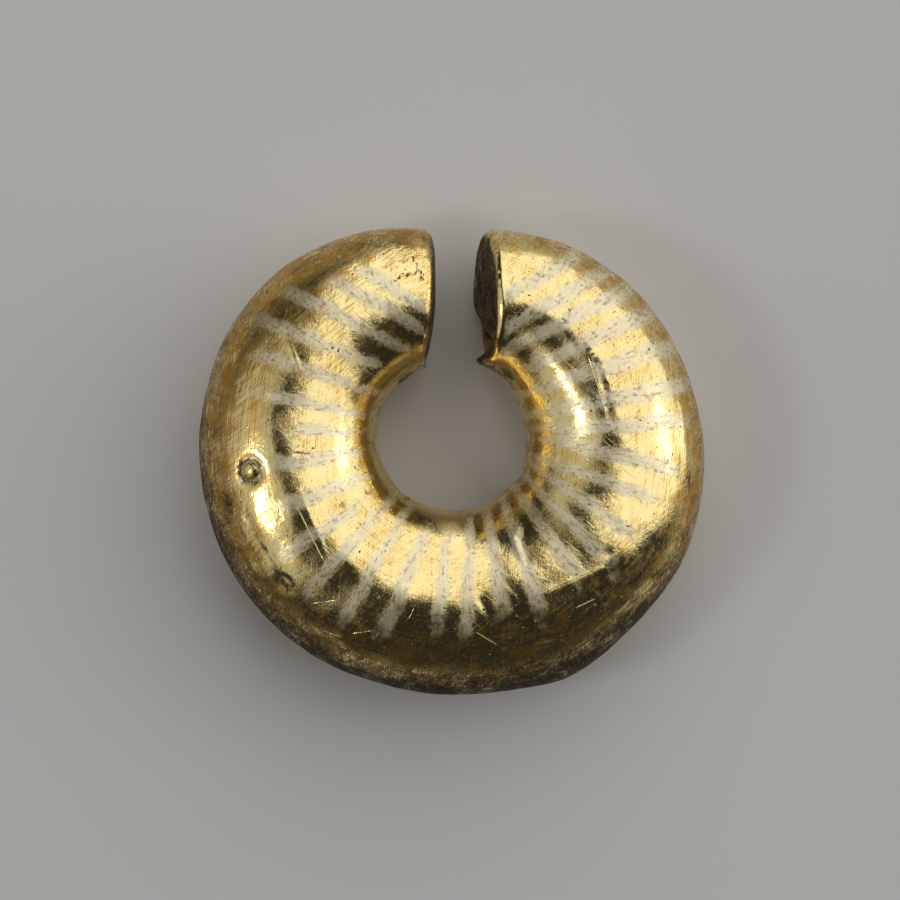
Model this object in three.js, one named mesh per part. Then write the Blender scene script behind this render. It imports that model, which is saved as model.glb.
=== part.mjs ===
// Ring money: a plump open ring of gold, lying flat with its gap towards +Y.
// Millimetres, +Z up. The origin is on the surface that the ring lies on, under the middle of its outline.
//
// The ring is one solid. Its surface is a grid of rows and columns: a row is one section of the body, placed
// by its turn about the hole, and a column runs along the body at one angle around the section.
//   turn    0 is the back of the ring, opposite the gap. Positive turns go to the right, seen from above.
//   around  0 is the outer side, 90 the front that faces up, 180 the hole side, 270 the underside.
import * as THREE from "three";

const { degToRad } = THREE.MathUtils;

// Plan of the ring
const HOLE_DIAMETER = 4.96;
const GAP = 1.65; // between the ends, at half the depth
const GAP_TO_RIGHT = 0.2; // the gap's middle, from the middle of the hole

// Width of the body in plan, from the hole to the outer edge
const LEFT_END_WIDTH = 4.56;
const LEFT_SHOULDER_WIDTH = 5.62;
const LEFT_SIDE_WIDTH = 5.98;
const LEFT_HAUNCH_WIDTH = 6.17;
const BACK_WIDTH = 6.08;
const RIGHT_HAUNCH_WIDTH = 6.2;
const RIGHT_SIDE_WIDTH = 5.85;
const RIGHT_SHOULDER_WIDTH = 5.3;
const RIGHT_END_WIDTH = 4.52;

// Depth of the body, from the underside to the front
const BACK_DEPTH = 5.6;
const SIDE_DEPTH = 5.45;
const SHOULDER_DEPTH = 5.1;
const END_DEPTH = 4.6;

// Ends of the body
const LEFT_END_LEAN = 1; // degrees that the end face turns up towards the front
const RIGHT_END_LEAN = 10;
const END_ROUNDING = 0.3;

// Worn flat on the underside, cut this deep into the back of the ring
const WORN_FLAT = 0.14;

// Small boss that stands in a round hollow on the left side
const BOSS_PLACE = { turn: -80.6, around: 64 };
const BOSS_RADIUS = 0.33;
const BOSS_HEIGHT = 0.15;
const HOLLOW_RADIUS = 0.47;
const HOLLOW_DEPTH = 0.12;

// Dents and swellings: half lengths along the body and around it, and how far the surface rises
const DENTS = [
  { turn: -73, around: 41, along: 0.35, across: 0.3, rise: -0.1 },
  { turn: -68, around: 76, along: 0.9, across: 0.5, rise: -0.03 },
  { turn: -49, around: 53, along: 0.3, across: 0.28, rise: -0.09 },
  { turn: -58, around: 38, along: 1.1, across: 0.35, rise: 0.07 },
  { turn: 14, around: 150, along: 0.35, across: 0.8, rise: -0.07 },
  { turn: 27, around: 0, along: 1.7, across: 1.8, rise: 0.21 },
  { turn: 45, around: 60, along: 0.8, across: 0.5, rise: -0.06 },
  { turn: 128, around: 100, along: 1.3, across: 0.4, rise: -0.07 },
  { turn: -115, around: 180, along: 0.7, across: 1.4, rise: -0.11 },
  { turn: -84, around: 180, along: 0.5, across: 1.2, rise: -0.04 },
  { turn: -165, around: 180, along: 0.3, across: 1.2, rise: -0.08 },
  { turn: -12, around: 180, along: 1.3, across: 1.4, rise: 0.07 },
  { turn: 61, around: 180, along: 0.3, across: 1.3, rise: -0.13 },
  { turn: 108, around: 180, along: 0.75, across: 1.3, rise: 0.08 },
  { turn: 143, around: 178, along: 0.75, across: 1.3, rise: -0.12 },
];

// Wear of the end faces, as places on a face: how far towards the hole and towards the back from its middle,
// the half width and half depth, and how far the face reaches out there. The right end has a torn hollow that
// is open towards the hole, a swelling in front of it and a lip beside it.
const LEFT_END_WEAR = [
  { inward: 2.6, back: 0, halfWidth: 1.4, halfDepth: 3, reach: -0.33 },
  { inward: -2.4, back: 0, halfWidth: 0.7, halfDepth: 2.2, reach: -0.16 },
];
const RIGHT_END_WEAR = [
  { inward: 1.4, back: 2.6, halfWidth: 0.38, halfDepth: 2.6, reach: -0.58 },
  { inward: 1.6, back: -2.2, halfWidth: 0.5, halfDepth: 1, reach: 0.2 },
  { inward: 0.75, back: 2.6, halfWidth: 0.4, halfDepth: 1.4, reach: -0.22 },
  { inward: 2.05, back: 0.1, halfWidth: 0.28, halfDepth: 0.9, reach: 0.32 },
];

// Fineness of the grid, which is closer around the small boss: over this share of the ring, and this many
// times more
const ROWS = 98;
const COLUMNS = 40;
const CLOSER_ROWS = { reach: 0.02, gain: 2.5 };
const CLOSER_COLUMNS = { reach: 0.05, gain: 1.6 };
const ROUNDING_ROWS = 2;
const CAP_ROWS = 9;

const MIDDLE_HEIGHT = BACK_DEPTH / 2 - WORN_FLAT;
const HOLE_RADIUS = HOLE_DIAMETER / 2;
const HALF_TURN = 180;
const FULL_TURN = 360;

const STATIONS = [
  { turn: -172, width: LEFT_END_WIDTH, depth: END_DEPTH },
  { turn: -130, width: LEFT_SHOULDER_WIDTH, depth: SHOULDER_DEPTH },
  { turn: -90, width: LEFT_SIDE_WIDTH, depth: SIDE_DEPTH },
  { turn: -45, width: LEFT_HAUNCH_WIDTH, depth: BACK_DEPTH },
  { turn: -9, width: BACK_WIDTH, depth: BACK_DEPTH },
  { turn: 60, width: RIGHT_HAUNCH_WIDTH, depth: BACK_DEPTH },
  { turn: 90, width: RIGHT_SIDE_WIDTH, depth: SIDE_DEPTH },
  { turn: 130, width: RIGHT_SHOULDER_WIDTH, depth: SHOULDER_DEPTH },
  { turn: 172, width: RIGHT_END_WIDTH, depth: END_DEPTH },
];

// The slope that a smooth curve through the stations has at station i.
function slopeAt(i, size) {
  const before = STATIONS[Math.max(i - 1, 0)];
  const after = STATIONS[Math.min(i + 1, STATIONS.length - 1)];
  return (after[size] - before[size]) / (after.turn - before.turn);
}

// A size of the section at any turn, on a smooth curve through the stations.
function sizeAt(turn, size) {
  const last = STATIONS.length - 1;
  if (turn <= STATIONS[0].turn) return STATIONS[0][size];
  if (turn >= STATIONS[last].turn) return STATIONS[last][size];
  const i = STATIONS.findIndex((station) => station.turn > turn) - 1;
  const [a, b] = [STATIONS[i], STATIONS[i + 1]];
  const span = b.turn - a.turn;
  const t = (turn - a.turn) / span;
  const [ease, rest] = [t * t * (3 - 2 * t), 1 - t];
  const bend = t * rest * (rest * slopeAt(i, size) - t * slopeAt(i + 1, size)) * span;
  return a[size] + (b[size] - a[size]) * ease + bend;
}

// Distance over the surface from a bump's middle to a place, as a share of the bump's half lengths.
function away(middle, turn, around, along, across) {
  const half = sizeAt(middle.turn, "width") / 2;
  const radius = HOLE_RADIUS + half * (1 + Math.cos(degToRad(middle.around)));
  const turned = ((around - middle.around + 3 * HALF_TURN) % FULL_TURN) - HALF_TURN;
  const lengthways = degToRad(turn - middle.turn) * radius;
  const crossways = degToRad(turned) * half;
  return Math.hypot(lengthways / along, crossways / across);
}

const swell = (distance) => Math.exp(-distance * distance);

// How far the surface stands out from the plain body.
function relief(turn, around) {
  let rise = 0;
  for (const dent of DENTS) rise += dent.rise * swell(away(dent, turn, around, dent.along, dent.across));
  const hollow = swell(away(BOSS_PLACE, turn, around, HOLLOW_RADIUS, HOLLOW_RADIUS) ** 2);
  const boss = swell(away(BOSS_PLACE, turn, around, BOSS_RADIUS, BOSS_RADIUS) ** 1.5);
  return rise + BOSS_HEIGHT * boss - HOLLOW_DEPTH * hollow;
}

// A point of the body. The hole's middle is at x = y = 0.
function bodyPoint(turn, around) {
  const [angle, out] = [degToRad(turn - HALF_TURN / 2), degToRad(around)];
  const rise = relief(turn, around);
  const halfWidth = sizeAt(turn, "width") / 2;
  const radius = HOLE_RADIUS + halfWidth + (halfWidth + rise) * Math.cos(out);
  const height = MIDDLE_HEIGHT + (sizeAt(turn, "depth") / 2 + rise) * Math.sin(out);
  return new THREE.Vector3(radius * Math.cos(angle), radius * Math.sin(angle), Math.max(height, 0));
}

// An end of the body: a flat face across it. side is -1 for the left end and 1 for the right end.
function endFace(side, lean, wear) {
  const tilt = degToRad(lean);
  const middle = new THREE.Vector3(GAP_TO_RIGHT + (side * GAP) / 2, 0, MIDDLE_HEIGHT);
  const outward = new THREE.Vector3(-side * Math.cos(tilt), 0, Math.sin(tilt));
  const pastFace = (point) => point.clone().sub(middle).dot(outward);
  return { side, outward, pastFace, wear };
}

const LEFT_END = endFace(-1, LEFT_END_LEAN, LEFT_END_WEAR);
const RIGHT_END = endFace(1, RIGHT_END_LEAN, RIGHT_END_WEAR);

// The turn at which a column meets the plane where the end's rounding starts.
function turnAtEnd(end, around) {
  const STEPS = 40;
  let [inside, outside] = [(end.side * HALF_TURN) / 2, end.side * HALF_TURN];
  for (let i = 0; i < STEPS; i++) {
    const turn = (inside + outside) / 2;
    if (end.pastFace(bodyPoint(turn, around)) < -END_ROUNDING) inside = turn;
    else outside = turn;
  }
  return inside;
}

// Shares from 0 to 1 in count steps, closer together around a focus.
function closerAround(focus, { reach, gain }, count) {
  const SLICES = 2000;
  const sums = [0];
  for (let i = 0; i < SLICES; i++) sums.push(sums[i] + 1 + gain * swell((i / SLICES - focus) / reach));
  const shares = [];
  for (let step = 0; step <= count; step++) {
    const wanted = (sums[SLICES] * step) / count;
    const i = Math.max(sums.findIndex((sum) => sum >= wanted) - 1, 0);
    shares.push((i + (wanted - sums[i]) / (sums[i + 1] - sums[i])) / SLICES);
  }
  return shares;
}

// The ring of points where an end's rounding starts, drawn in and out to one step of the rounding.
function roundedRing(start, end, step) {
  const angle = (step * Math.PI) / 2 / ROUNDING_ROWS;
  const middle = ringMiddle(start);
  return start.map((point) => {
    const inward = middle.clone().sub(point).normalize();
    return point
      .clone()
      .addScaledVector(inward, END_ROUNDING * (1 - Math.cos(angle)))
      .addScaledVector(end.outward, END_ROUNDING * Math.sin(angle));
  });
}

function ringMiddle(ring) {
  return ring.reduce((sum, point) => sum.add(point), new THREE.Vector3()).divideScalar(ring.length);
}

// A ring of points of an end, moved in and out where the end is worn.
function wornRing(ring, middle, end) {
  return ring.map((point) => {
    const [inward, back] = [middle.y - point.y, middle.z - point.z];
    let reach = 0;
    for (const place of end.wear) {
      const across = (inward - place.inward) / place.halfWidth;
      reach += place.reach * swell(Math.hypot(across, (back - place.back) / place.halfDepth));
    }
    return point.clone().addScaledVector(end.outward, reach);
  });
}

// The rows that close an end: its rounding, then rings that shrink to the middle of the flat face.
function endRows(start, end) {
  const rows = [];
  for (let step = 1; step <= ROUNDING_ROWS; step++) rows.push(roundedRing(start, end, step));
  const rim = rows[rows.length - 1];
  const middle = ringMiddle(rim);
  for (let step = 1; step < CAP_ROWS; step++) {
    rows.push(rim.map((point) => point.clone().lerp(middle, step / CAP_ROWS)));
  }
  return { rows: rows.map((row) => wornRing(row, middle, end)), tip: wornRing([middle], middle, end)[0] };
}

function ringGeometry() {
  const arounds = closerAround(BOSS_PLACE.around / FULL_TURN, CLOSER_COLUMNS, COLUMNS)
    .slice(0, COLUMNS)
    .map((share) => share * FULL_TURN);
  const ends = arounds.map((around) => [turnAtEnd(LEFT_END, around), turnAtEnd(RIGHT_END, around)]);
  const bossShare = (BOSS_PLACE.turn + HALF_TURN) / FULL_TURN;
  const body = closerAround(bossShare, CLOSER_ROWS, ROWS).map((share) =>
    arounds.map((around, i) => bodyPoint(ends[i][0] + (ends[i][1] - ends[i][0]) * share, around)),
  );
  const left = endRows(body[0], LEFT_END);
  const right = endRows(body[body.length - 1], RIGHT_END);
  const rows = [...left.rows.reverse(), ...body, ...right.rows];

  const points = [...rows.flat(), left.tip, right.tip];
  const [leftTip, rightTip] = [points.length - 2, points.length - 1];
  const faces = [];
  const corner = (row, column) => row * COLUMNS + (column % COLUMNS);
  for (let c = 0; c < COLUMNS; c++) {
    for (let r = 0; r + 1 < rows.length; r++) {
      const [a, b, d, e] = [corner(r, c), corner(r + 1, c), corner(r + 1, c + 1), corner(r, c + 1)];
      faces.push(a, b, d, a, d, e);
    }
    faces.push(leftTip, corner(0, c), corner(0, c + 1));
    faces.push(rightTip, corner(rows.length - 1, c + 1), corner(rows.length - 1, c));
  }
  return new THREE.BufferGeometry().setFromPoints(points).setIndex(faces);
}

// The ring, moved so that the origin is under the middle of its outline.
function ringMoney() {
  const geometry = ringGeometry();
  geometry.computeBoundingBox();
  const middle = geometry.boundingBox.getCenter(new THREE.Vector3());
  geometry.translate(-middle.x, -middle.y, 0);
  geometry.computeVertexNormals();
  const gold = new THREE.MeshStandardMaterial({ color: 0xd9b45a, roughness: 0.3, metalness: 1 });
  const mesh = new THREE.Mesh(geometry, gold);
  mesh.name = "ring_money";
  return mesh;
}

const part = new THREE.Group();
part.add(ringMoney());

export default part;
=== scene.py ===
# %% [markdown]
# Ring money
#
# This is a small, plump, open ring of gold, about 17 mm across, with pale stripes of a silvery alloy that
# lie flush in its skin. It is old and much handled: dents, a boss in a round hollow, a torn end,
# scratches, pits and tarnish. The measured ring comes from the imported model. Here the same form is made
# again with a finer skin and a real finish, in the same place and in metres, so nothing has to be fitted
# afterwards.

# %% The measured ring
import math

import bpy
import numpy as np
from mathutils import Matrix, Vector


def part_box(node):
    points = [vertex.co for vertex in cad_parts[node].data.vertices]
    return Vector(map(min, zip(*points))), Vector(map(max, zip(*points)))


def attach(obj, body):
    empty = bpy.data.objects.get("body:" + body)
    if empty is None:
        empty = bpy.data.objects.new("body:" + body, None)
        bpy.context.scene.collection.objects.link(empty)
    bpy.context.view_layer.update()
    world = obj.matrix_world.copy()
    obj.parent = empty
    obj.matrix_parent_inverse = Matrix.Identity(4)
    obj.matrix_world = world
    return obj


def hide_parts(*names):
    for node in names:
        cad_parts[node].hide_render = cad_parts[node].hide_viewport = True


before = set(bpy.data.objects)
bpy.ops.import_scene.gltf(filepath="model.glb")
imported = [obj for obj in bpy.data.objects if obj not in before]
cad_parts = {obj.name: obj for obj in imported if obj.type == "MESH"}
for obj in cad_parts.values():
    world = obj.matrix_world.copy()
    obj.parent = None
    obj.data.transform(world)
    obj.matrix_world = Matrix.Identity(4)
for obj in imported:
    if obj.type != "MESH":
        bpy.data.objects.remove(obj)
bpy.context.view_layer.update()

MM = 0.001
ring_low, ring_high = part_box("ring_money")
print("The measured ring, in mm:", [round(side / MM, 3) for side in ring_high - ring_low])

# %% [markdown]
# The camera looks straight down, as in the photograph, with the gap towards the top. A long lens from far
# away shows a small thing almost without perspective, which is how such finds are photographed. The view
# is 30 mm wide at the ring's middle height, so one millimetre is 30 pixels of a 900 pixel picture.

# %% Camera
PIXELS_PER_MM = 30
PHOTO_SIDE = 900
VIEW_WIDTH = PHOTO_SIDE / PIXELS_PER_MM
VIEW_MIDDLE_X = -0.05
VIEW_MIDDLE_Y = 0.375
CAMERA_DISTANCE = 300
SENSOR_WIDTH = 36

HOLE_DIAMETER = 4.96
BACK_DEPTH = 5.6
WORN_FLAT = 0.14
MIDDLE_HEIGHT = BACK_DEPTH / 2 - WORN_FLAT

camera_data = bpy.data.cameras.new("photo_camera")
camera_data.sensor_width = SENSOR_WIDTH
camera_data.lens = SENSOR_WIDTH * CAMERA_DISTANCE / VIEW_WIDTH
camera = bpy.data.objects.new("photo_camera", camera_data)
camera.location = (VIEW_MIDDLE_X * MM, VIEW_MIDDLE_Y * MM, (MIDDLE_HEIGHT + CAMERA_DISTANCE) * MM)
bpy.context.collection.objects.link(camera)
bpy.context.scene.camera = camera
print("Lens, in mm:", camera_data.lens)

# %% [markdown]
# The body is a bent, tapering roll. Every point of its skin has two angles: its turn round the hole,
# which is 0 at the back and grows to the right, and its place around the section, which is 0 on the outer
# side, 90 on the front, 180 at the hole and 270 underneath. The width and the depth of the section follow
# smooth curves through a few measured stations. Working with whole arrays of angles keeps this fast, even
# for a very fine skin.

# %% Width and depth along the body
HOLE_RADIUS = HOLE_DIAMETER / 2
TURNS = np.array([-172, -130, -90, -45, -9, 60, 90, 130, 172], float)
WIDTHS = np.array([4.56, 5.62, 5.98, 6.17, 6.08, 6.2, 5.85, 5.3, 4.52])
DEPTHS = np.array([4.6, 5.1, 5.45, 5.6, 5.6, 5.6, 5.45, 5.1, 4.6])


def slopes(sizes):
    """The slope of the smooth curve at each station."""
    last = len(TURNS) - 1
    before = np.maximum(np.arange(last + 1) - 1, 0)
    after = np.minimum(np.arange(last + 1) + 1, last)
    return (sizes[after] - sizes[before]) / (TURNS[after] - TURNS[before])


def size_at(turn, sizes):
    """A size of the body at any turn, on a smooth curve through the stations."""
    i = np.clip(np.searchsorted(TURNS, turn, side="right") - 1, 0, len(TURNS) - 2)
    span = TURNS[i + 1] - TURNS[i]
    t = np.clip((turn - TURNS[i]) / span, 0, 1)
    slope = slopes(sizes)
    bend = t * (1 - t) * ((1 - t) * slope[i] - t * slope[i + 1]) * span
    return sizes[i] + (sizes[i + 1] - sizes[i]) * t * t * (3 - 2 * t) + bend


def body_point(turn, around, rise):
    """Points of the skin, in mm from the middle of the hole, raised by rise."""
    angle = np.radians(turn - 90)
    out = np.radians(around)
    half_width = size_at(turn, WIDTHS) / 2
    radius = HOLE_RADIUS + half_width + (half_width + rise) * np.cos(out)
    height = MIDDLE_HEIGHT + (size_at(turn, DEPTHS) / 2 + rise) * np.sin(out)
    return np.stack([radius * np.cos(angle), radius * np.sin(angle), np.maximum(height, 0)], axis=-1)


print("Width at the back, in mm:", round(float(size_at(0.0, WIDTHS)), 2))

# %% [markdown]
# The larger dents and swellings are those of the measured ring. Each is a soft, round or long hump: how
# far the skin rises fades with the distance from its middle. They could be sculpted, but as a sum of
# humps each one keeps its place and its size in plain numbers. The boss on the left is a low dome in a
# wider round hollow, as if a hollow punch had been pressed in around it.

# %% Dents, swellings and the boss
BOSS_TURN = -80.6
BOSS_AROUND = 64
BOSS_RADIUS = 0.33
BOSS_HEIGHT = 0.15
HOLLOW_RADIUS = 0.47
HOLLOW_DEPTH = 0.12

# Turn, around, half length along the body, half length around it, and rise
DENTS = [
    (-73, 41, 0.35, 0.3, -0.1),
    (-68, 76, 0.9, 0.5, -0.03),
    (-49, 53, 0.3, 0.28, -0.09),
    (-58, 38, 1.1, 0.35, 0.07),
    (14, 150, 0.35, 0.8, -0.07),
    (27, 0, 1.7, 1.8, 0.21),
    (45, 60, 0.8, 0.5, -0.06),
    (128, 100, 1.3, 0.4, -0.07),
    (-115, 180, 0.7, 1.4, -0.11),
    (-84, 180, 0.5, 1.2, -0.04),
    (-165, 180, 0.3, 1.2, -0.08),
    (-12, 180, 1.3, 1.4, 0.07),
    (61, 180, 0.3, 1.3, -0.13),
    (108, 180, 0.75, 1.3, 0.08),
    (143, 178, 0.75, 1.3, -0.12),
]


def swell(distance):
    """1 at the middle of a hump, falling softly to nothing."""
    return np.exp(-distance * distance)


def away(middle_turn, middle_around, turn, around, along, across):
    """Distance over the skin from a hump's middle, as a share of its half lengths."""
    half = float(size_at(float(middle_turn), WIDTHS)) / 2
    radius = HOLE_RADIUS + half * (1 + math.cos(math.radians(middle_around)))
    turned = (around - middle_around + 540) % 360 - 180
    return np.hypot(np.radians(turn - middle_turn) * radius / along, np.radians(turned) * half / across)


def measured_rise(turn, around):
    """How far the dents, the swellings and the boss raise the skin."""
    rise = np.zeros(np.broadcast(turn, around).shape)
    for middle_turn, middle_around, along, across, height in DENTS:
        rise += height * swell(away(middle_turn, middle_around, turn, around, along, across))
    hollow = away(BOSS_TURN, BOSS_AROUND, turn, around, HOLLOW_RADIUS, HOLLOW_RADIUS)
    boss = away(BOSS_TURN, BOSS_AROUND, turn, around, BOSS_RADIUS, BOSS_RADIUS)
    return rise + BOSS_HEIGHT * swell(boss**1.5) - HOLLOW_DEPTH * swell(hollow**2)


print("Rise at the boss, in mm:", round(float(measured_rise(BOSS_TURN, BOSS_AROUND)), 3))

# %% [markdown]
# The two ends are flat faces across the body. The left face stands almost upright and the right one leans
# back, so it can be seen from above. A Boolean cut could make them too, but the skin would lose its even
# grid there. Here the body's rows stop where each face's rounding starts, and that turn is found for
# every column by halving a range again and again.

# %% Where the body meets its ends
GAP = 1.65
GAP_TO_RIGHT = 0.2
END_ROUNDING = 0.3
LEFT_END_LEAN = 1
RIGHT_END_LEAN = 10
HALVINGS = 40


def end_outward(side, lean):
    """The direction that an end face looks in. side is -1 for the left end and 1 for the right end."""
    tilt = math.radians(lean)
    return np.array([-side * math.cos(tilt), 0, math.sin(tilt)])


def turn_at_end(side, outward, around):
    """The turn at which each column meets the plane where the end's rounding starts."""
    middle = np.array([GAP_TO_RIGHT + side * GAP / 2, 0, MIDDLE_HEIGHT])
    inside = np.full(around.shape, side * 90.0)
    outside = np.full(around.shape, side * 180.0)
    for _ in range(HALVINGS):
        turn = (inside + outside) / 2
        past = (body_point(turn, around, measured_rise(turn, around)) - middle) @ outward
        short = past < -END_ROUNDING
        inside = np.where(short, turn, inside)
        outside = np.where(short, outside, turn)
    return inside


left_outward = end_outward(-1, LEFT_END_LEAN)
right_outward = end_outward(1, RIGHT_END_LEAN)
print("The left and right ends look towards", left_outward.round(3), right_outward.round(3))

# %% [markdown]
# The skin is a grid. It is finer on the front, which is seen closest, and around the boss. A function
# that says how dense the grid should be is added up, and the grid lines are put at equal steps of that
# sum.

# %% The grid of the skin
ROWS = 400
COLUMNS = 196
SAMPLES = 4001
# Shares of the way around the section where the front ends and where it begins again, and how sharply
FRONT_TO = 0.53
FRONT_FROM = 0.97
FRONT_SHARPNESS = 60
# How much denser the grid is around the boss and at the ends, and over what share of its length
BOSS_COLUMNS, BOSS_COLUMNS_SHARE = 0.7, 0.04
BOSS_ROWS, BOSS_ROWS_SHARE = 1.2, 0.02
END_ROWS, END_ROWS_SHARE = 0.5, 0.03


def spread(density, count):
    """count shares from 0, closer together where density is higher, and the last one below 1."""
    share = np.linspace(0, 1, SAMPLES)
    total = np.concatenate([[0], np.cumsum((density(share[1:]) + density(share[:-1])) / 2)])
    return np.interp(np.arange(count) / count * total[-1], total, share)


def column_density(share):
    before = 1 / (1 + np.exp((share - FRONT_TO) * FRONT_SHARPNESS))
    after = 1 / (1 + np.exp((FRONT_FROM - share) * FRONT_SHARPNESS))
    return 1 + (before + after) + BOSS_COLUMNS * swell((share - BOSS_AROUND / 360) / BOSS_COLUMNS_SHARE)


def row_density(share):
    near_boss = swell((share - (BOSS_TURN + 180) / 360) / BOSS_ROWS_SHARE)
    near_ends = swell(share / END_ROWS_SHARE) + swell((1 - share) / END_ROWS_SHARE)
    return 1 + BOSS_ROWS * near_boss + END_ROWS * near_ends


around_columns = spread(column_density, COLUMNS) * 360
row_shares = np.append(spread(row_density, ROWS), 1)
left_turns = turn_at_end(-1, left_outward, around_columns)
right_turns = turn_at_end(1, right_outward, around_columns)
turn = left_turns + (right_turns - left_turns) * row_shares[:, None]
around = np.broadcast_to(around_columns, turn.shape)
crest = int(np.abs(around_columns - 90).argmin())
print("Turns of the ends on the crest:", left_turns[crest].round(1), right_turns[crest].round(1))

# %% [markdown]
# Wear that is too small for the measured ring is added here as real shape: creases, ridges, nicks and
# dimples. Each is a stroke between two places, given in mm from the middle of the hole as seen from
# above, and it lies on the front of the skin there. The skin sinks or rises with its distance to the
# stroke in space, so a stroke bends with the body. On top comes a slow unevenness of a few hundredths of
# a millimetre, made of a few waves, because a ring that was beaten by hand mirrors the light in wavering
# shapes.

# %% Creases, ridges and nicks
# Start, end, half width and rise
STROKES = {
    "crease below the boss, upper part": ((-7.25, -1.95), (-6.81, -2.68), 0.15, -0.02),
    "crease below the boss, middle": ((-6.81, -2.68), (-6.28, -3.75), 0.15, -0.022),
    "crease below the boss, lower part": ((-6.28, -3.75), (-5.78, -4.68), 0.15, -0.018),
    "nick left of the crest": ((-5.2, -0.55), (-4.75, -0.57), 0.035, -0.02),
    "ridge on the left front": ((-5.05, -1.81), (-4.5, -3.1), 0.07, 0.014),
    "ridge on the left front, lower part": ((-4.5, -3.1), (-4.05, -4.35), 0.07, 0.012),
    "fold above the boss": ((-5.4, 3.05), (-5.08, 2.25), 0.07, 0.025),
    "fold beside it": ((-4.66, 2.55), (-5.01, 2.19), 0.06, 0.02),
    "burr at the back": ((2.19, -2.81), (1.99, -3.35), 0.08, 0.02),
    "burr at the back, lower part": ((1.99, -3.35), (2.25, -3.95), 0.08, 0.02),
    "groove beside the burr": ((2.4, -3.0), (2.27, -3.5), 0.07, -0.02),
    "groove beside the burr, lower part": ((2.27, -3.5), (2.48, -4.15), 0.07, -0.018),
    "gouge right of the middle": ((1.82, -4.85), (2.25, -5.31), 0.08, -0.016),
    "gouge left of it": ((0.95, -5.4), (1.28, -6.05), 0.11, -0.018),
    "long edge at lower right": ((3.02, -5.18), (4.92, -4.38), 0.15, 0.018),
    "dent under the long edge": ((5.25, -4.48), (5.4, -4.46), 0.18, -0.035),
    "dimple above the long edge": ((5.05, -3.83), (5.1, -3.83), 0.12, -0.03),
    "nick in the lower flank": ((2.75, -6.92), (3.3, -6.8), 0.13, -0.045),
    "edge on the right flank": ((7.55, 1.1), (7.72, -1.5), 0.12, 0.03),
    "hollow right of the crest": ((4.7, 2.5), (5.0, 1.7), 0.11, -0.012),
    "hollow right of the crest, lower part": ((5.0, 1.7), (5.25, 0.5), 0.11, -0.012),
    "wrinkle at the right end": ((1.98, 5.85), (1.76, 5.45), 0.08, -0.045),
    "wrinkle below it": ((2.02, 5.5), (1.84, 5.1), 0.08, -0.04),
    "wrinkle beside them": ((2.3, 5.75), (2.2, 5.3), 0.09, -0.03),
    "wrinkle at the left end": ((-0.86, 6.75), (-0.78, 5.9), 0.06, -0.03),
    "wrinkle beside it": ((-1.02, 6.5), (-0.95, 6.0), 0.05, -0.02),
    "lobe on the lower left flank": ((-4.38, -6.38), (-3.75, -6.62), 0.14, 0.03),
    "lobe, lower part": ((-3.75, -6.62), (-3.3, -7.08), 0.14, 0.03),
    "grain of dirt at the hole": ((-1.51, -2.02), (-1.5, -2.05), 0.09, 0.07),
}


def on_front(place):
    """The place on the front of the skin under a place in plan."""
    x, y = place
    place_turn = math.degrees(math.atan2(y, x)) + 90
    place_turn = (place_turn + 180) % 360 - 180
    half = float(size_at(place_turn, WIDTHS)) / 2
    share = (math.hypot(x, y) - HOLE_RADIUS - half) / half
    place_around = math.degrees(math.acos(min(max(share, -1), 1)))
    return body_point(np.array(place_turn), np.array(place_around), 0)


def stroke_distance(points, start, end):
    """How far each point is from the straight stroke between two places on the front."""
    first, last = on_front(start), on_front(end)
    span = last - first
    share = np.clip((points - first) @ span / (span @ span), 0, 1)
    return np.linalg.norm(points - first - share[..., None] * span, axis=-1)


smooth_skin = body_point(turn, around, measured_rise(turn, around))
stroke_rise = np.zeros(turn.shape)
for start, end, half_width, height in STROKES.values():
    stroke_rise += height * swell(stroke_distance(smooth_skin, start, end) / half_width)
print("Deepest and highest stroke, in mm:", stroke_rise.min().round(3), stroke_rise.max().round(3))

# %% Slow unevenness
# Wave length and height, in mm
WAVES = [(4.5, 0.016), (2.6, 0.01), (1.5, 0.0055), (0.9, 0.0025), (0.55, 0.0011)]
DIRECTIONS = 5
chance = np.random.default_rng(17)


def unevenness(points):
    """Slow waves in many directions, added up."""
    rise = np.zeros(points.shape[:-1])
    for length, height in WAVES:
        for _ in range(DIRECTIONS):
            direction = chance.normal(size=3)
            direction *= 2 * math.pi / length / np.linalg.norm(direction)
            wave = np.sin(points @ direction + chance.uniform(0, 2 * math.pi))
            rise += height * wave / math.sqrt(DIRECTIONS / 2)
    return rise


uneven_rise = unevenness(smooth_skin)
skin = body_point(turn, around, measured_rise(turn, around) + stroke_rise + uneven_rise)
print("Unevenness from", uneven_rise.min().round(3), "to", uneven_rise.max().round(3), "mm")

# %% [markdown]
# Each end is closed with rings of points: a quarter round first, then rings that shrink to the middle of
# the face. They are then pushed in and out where the end is worn. The left face is rubbed down towards
# the hole. The right one has a torn hollow that is open towards the hole, a crumpled tongue beside it and
# a pointed lip.

# %% Worn end faces
ROUNDING_ROWS = 7
CAP_ROWS = 22
END_UNEVENNESS = 0.6

# Place towards the hole, place towards the back, half width, half depth and how far the face reaches out
LEFT_END_WEAR = [
    (2.6, 0, 1.4, 3, -0.33),
    (-2.4, 0, 0.7, 2.2, -0.16),
]
RIGHT_END_WEAR = [
    (1.4, 2.6, 0.38, 2.6, -0.58),
    (1.6, -2.2, 0.5, 1, 0.2),
    (0.75, 2.6, 0.4, 1.4, -0.22),
    (2.02, 0.1, 0.22, 0.9, 0.34),
    (2.4, 0, 0.2, 1.2, -0.15),
    (0.72, -1.3, 0.28, 0.2, -0.16),
    (0.7, -0.7, 0.22, 0.4, 0.18),
]


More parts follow.
